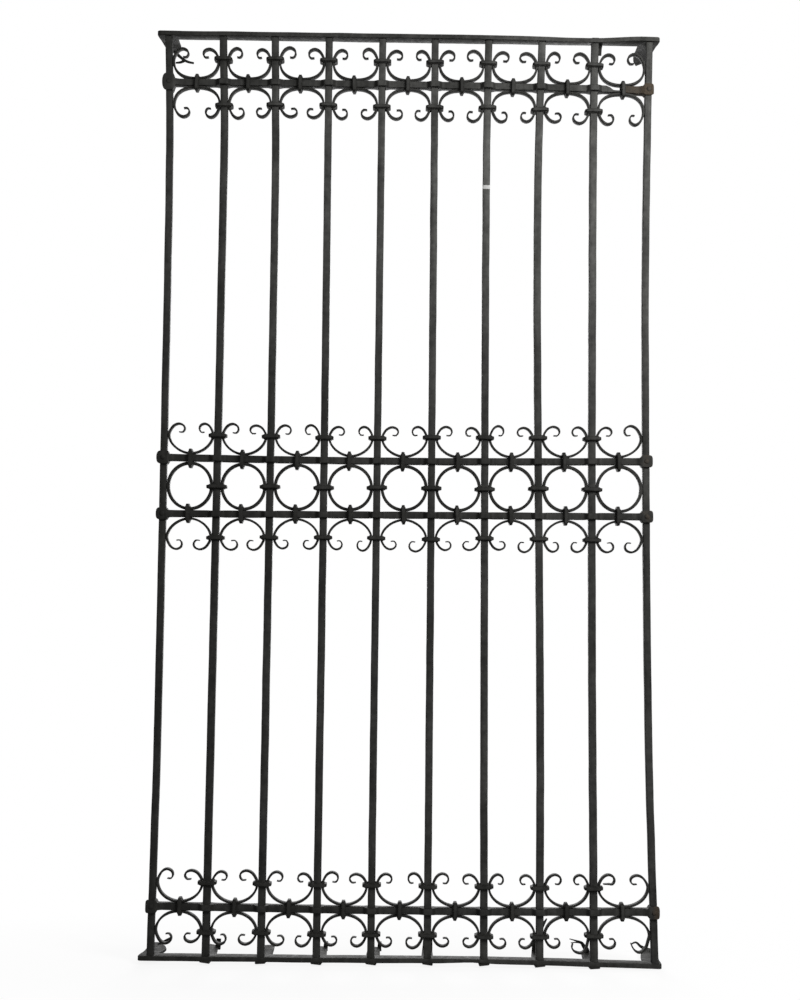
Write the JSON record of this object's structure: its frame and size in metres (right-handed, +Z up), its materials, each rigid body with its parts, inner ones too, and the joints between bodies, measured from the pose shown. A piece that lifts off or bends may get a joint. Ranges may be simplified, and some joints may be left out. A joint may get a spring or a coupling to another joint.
{
  "type": "wrought iron window grille",
  "caption": "Flat wrought iron window grille: square bars through pierced rails, with collared scrolls and rings between them and bent legs and straps that fix it into a wall.",
  "frame": {"origin": "midway between the stiles, on the bars' centre plane, at the underside of the bottom flat rail", "axes": "+Z up along the bars, +Y back into the wall, +X to the right seen from the front"},
  "size_m": [1.1461, 0.1445, 2.0786],
  "materials": {
    "bar_iron": "worn semi-matt black paint on hand-forged square bar",
    "rail_iron": "worn semi-matt black paint on forged iron",
    "scroll_iron": "worn semi-matt black paint on flat iron",
    "collar_iron": "worn semi-matt black paint on half-round iron",
    "wall_iron": "black paint with mortar dust and some rust",
    "rusty_iron": "brown rust through thin black paint"
  },
  "bodies": {
    "root": {"bar_1": "bar_iron", "bar_2": "bar_iron", "bar_3": "bar_iron", "bar_4": "bar_iron", "bar_5": "bar_iron", "bar_6": "bar_iron", "bar_7": "bar_iron", "bar_8": "bar_iron", "bottom_flat_rail": "rail_iron", "bottom_straps": "wall_iron", "lower_bottom_bar_collars": "collar_iron", "lower_middle_rail": "rail_iron", "lower_middle_rail_collars": "collar_iron", "lower_rail": "rail_iron", "lower_rail_collars": "collar_iron", "lower_scrolls_bay_1": "scroll_iron", "lower_scrolls_bay_2": "scroll_iron", "lower_scrolls_bay_3": "scroll_iron", "lower_scrolls_bay_4": "scroll_iron", "lower_scrolls_bay_5": "scroll_iron", "lower_scrolls_bay_6": "scroll_iron", "lower_scrolls_bay_7": "scroll_iron", "lower_scrolls_bay_8": "scroll_iron", "lower_scrolls_bay_9": "scroll_iron", "lower_top_bar_collars": "collar_iron", "middle_bottom_bar_collars": "collar_iron", "middle_scrolls_bay_1": "scroll_iron", "middle_scrolls_bay_2": "scroll_iron", "middle_scrolls_bay_3": "scroll_iron", "middle_scrolls_bay_4": "scroll_iron", "middle_scrolls_bay_5": "scroll_iron", "middle_scrolls_bay_6": "scroll_iron", "middle_scrolls_bay_7": "scroll_iron", "middle_scrolls_bay_8": "scroll_iron", "middle_scrolls_bay_9": "scroll_iron", "middle_top_bar_collars": "collar_iron", "ring_bar_collars": "collar_iron", "rings": "scroll_iron", "rivet_heads": "rusty_iron", "stile_left": "bar_iron", "stile_right": "bar_iron", "top_flat_rail": "rail_iron", "top_strap": "wall_iron", "upper_bottom_bar_collars": "collar_iron", "upper_middle_rail": "rail_iron", "upper_middle_rail_collars": "collar_iron", "upper_rail": "rail_iron", "upper_rail_collars": "collar_iron", "upper_rail_end": "rusty_iron", "upper_scrolls_bay_1": "scroll_iron", "upper_scrolls_bay_2": "scroll_iron", "upper_scrolls_bay_3": "scroll_iron", "upper_scrolls_bay_4": "scroll_iron", "upper_scrolls_bay_5": "scroll_iron", "upper_scrolls_bay_6": "scroll_iron", "upper_scrolls_bay_7": "scroll_iron", "upper_scrolls_bay_8": "scroll_iron", "upper_scrolls_bay_9": "scroll_iron", "upper_top_bar_collars": "collar_iron"}
  },
  "joints": []
}
